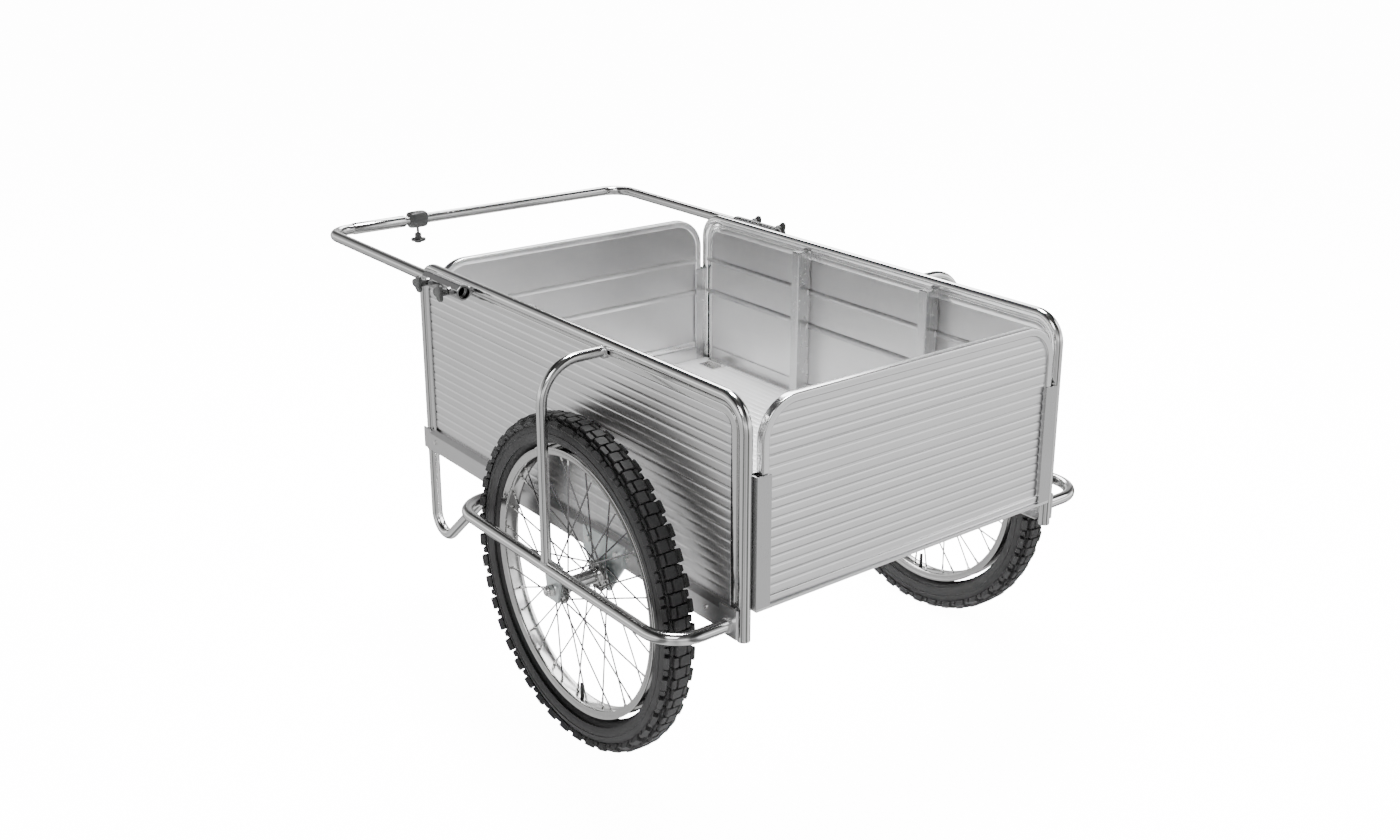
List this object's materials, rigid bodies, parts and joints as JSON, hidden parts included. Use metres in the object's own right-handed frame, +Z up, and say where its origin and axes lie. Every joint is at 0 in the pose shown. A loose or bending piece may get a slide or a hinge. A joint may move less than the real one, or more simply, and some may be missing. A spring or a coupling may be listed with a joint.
{
  "type": "folding_aluminium_hand_cart",
  "caption": "Folding aluminium game cart with ribbed plank sides and floor, spoked pneumatic wheels in tube guards, a sliding pull handle, lift-out end boards and bent tube legs.",
  "frame": {"origin": "on the ground under the middle of the cart, with the bed level", "axes": "+X to the right seen from behind the tailgate, +Y forward to the pull handle, +Z up"},
  "size_m": [0.877, 1.2548, 0.637],
  "materials": {
    "tyre": "black knobbly rubber",
    "inner_tube": "black rubber",
    "black_plastic": "moulded black plastic",
    "rim": "bright chromed steel",
    "hub_and_spokes": "bright plated steel wire and hub shell",
    "steel_fittings": "plated steel",
    "zinc_plate": "zinc plated sheet steel",
    "planks": "satin ribbed extrusion",
    "handle_tube": "bright drawn tube",
    "frame_tube": "bright drawn tube",
    "extrusion": "satin extrusion"
  },
  "bodies": {
    "frame": {"bracket_bolts": "steel_fittings", "corner_hinges": "extrusion", "end_sills": "extrusion", "floor_cross_rails": "extrusion", "floor_planks": "planks", "frame_rivets": "extrusion", "front_channels": "extrusion", "guard_gussets": "extrusion", "left_arch": "frame_tube", "left_axle": "steel_fittings", "left_axle_nuts": "steel_fittings", "left_bottom_rail": "extrusion", "left_floor_strip": "extrusion", "left_guard": "frame_tube", "left_hoop": "frame_tube", "left_inner_bracket": "zinc_plate", "left_leg": "frame_tube", "left_outer_bracket": "zinc_plate", "left_side_planks": "planks", "left_side_uprights": "extrusion", "left_sleeve": "extrusion", "rear_channels": "extrusion", "right_arch": "frame_tube", "right_axle": "steel_fittings", "right_axle_nuts": "steel_fittings", "right_bottom_rail": "extrusion", "right_floor_strip": "extrusion", "right_guard": "frame_tube", "right_hoop": "frame_tube", "right_inner_bracket": "zinc_plate", "right_leg": "frame_tube", "right_outer_bracket": "zinc_plate", "right_side_planks": "planks", "right_side_uprights": "extrusion", "right_sleeve": "extrusion"},
    "tailgate": {"tailgate_frame": "extrusion", "tailgate_planks": "planks"},
    "front_board": {"front_board_frame": "extrusion", "front_board_planks": "planks"},
    "handle": {"handle_left_arm": "handle_tube", "handle_right_arm": "handle_tube", "handle_spigot": "handle_tube", "handle_clamp_block": "black_plastic"},
    "clamp_knob": {"handle_clamp_knob": "black_plastic"},
    "left_wheel": {"left_tyre": "tyre", "left_inner_tube": "inner_tube", "left_rim": "rim", "left_spokes": "hub_and_spokes", "left_hub": "hub_and_spokes", "left_bearings": "steel_fittings"},
    "left_rear_sleeve_knob": {"left_rear_knob": "black_plastic"},
    "left_front_sleeve_knob": {"left_front_knob": "black_plastic"},
    "right_wheel": {"right_tyre": "tyre", "right_inner_tube": "inner_tube", "right_rim": "rim", "right_spokes": "hub_and_spokes", "right_hub": "hub_and_spokes", "right_bearings": "steel_fittings"},
    "right_rear_sleeve_knob": {"right_rear_knob": "black_plastic"},
    "right_front_sleeve_knob": {"right_front_knob": "black_plastic"}
  },
  "joints": [
    {"name": "left_wheel_spin", "type": "hinge", "parent": "frame", "child": "left_wheel", "pos_m": [-0.372, -0.293, 0.262], "axis": [1, 0, 0], "continuous": true},
    {"name": "right_wheel_spin", "type": "hinge", "parent": "frame", "child": "right_wheel", "pos_m": [0.372, -0.293, 0.262], "axis": [1, 0, 0], "continuous": true},
    {"name": "handle_slide", "type": "slide", "parent": "frame", "child": "handle", "axis": [0, 1, 0], "range_m": [-0.3, 0]},
    {"name": "tailgate_lift", "type": "slide", "parent": "frame", "child": "tailgate", "axis": [0, 0, 1], "range_m": [0, 0.19]},
    {"name": "front_board_lift", "type": "slide", "parent": "frame", "child": "front_board", "axis": [0, 0, 1], "range_m": [0, 0.155]},
    {"name": "left_rear_knob_turn", "type": "hinge", "parent": "frame", "child": "left_rear_sleeve_knob", "pos_m": [-0.36, 0.1145, 0.621], "axis": [1, 0, 0], "range_deg": [-180, 180]},
    {"name": "left_front_knob_turn", "type": "hinge", "parent": "frame", "child": "left_front_sleeve_knob", "pos_m": [-0.36, 0.1875, 0.621], "axis": [1, 0, 0], "range_deg": [-180, 180]},
    {"name": "right_rear_knob_turn", "type": "hinge", "parent": "frame", "child": "right_rear_sleeve_knob", "pos_m": [0.36, 0.1145, 0.621], "axis": [1, 0, 0], "range_deg": [-180, 180]},
    {"name": "right_front_knob_turn", "type": "hinge", "parent": "frame", "child": "right_front_sleeve_knob", "pos_m": [0.36, 0.1875, 0.621], "axis": [1, 0, 0], "range_deg": [-180, 180]},
    {"name": "clamp_knob_turn", "type": "hinge", "parent": "handle", "child": "clamp_knob", "pos_m": [-0.148, 0.614, 0.59], "axis": [0, 0, 1], "range_deg": [-180, 180]}
  ]
}
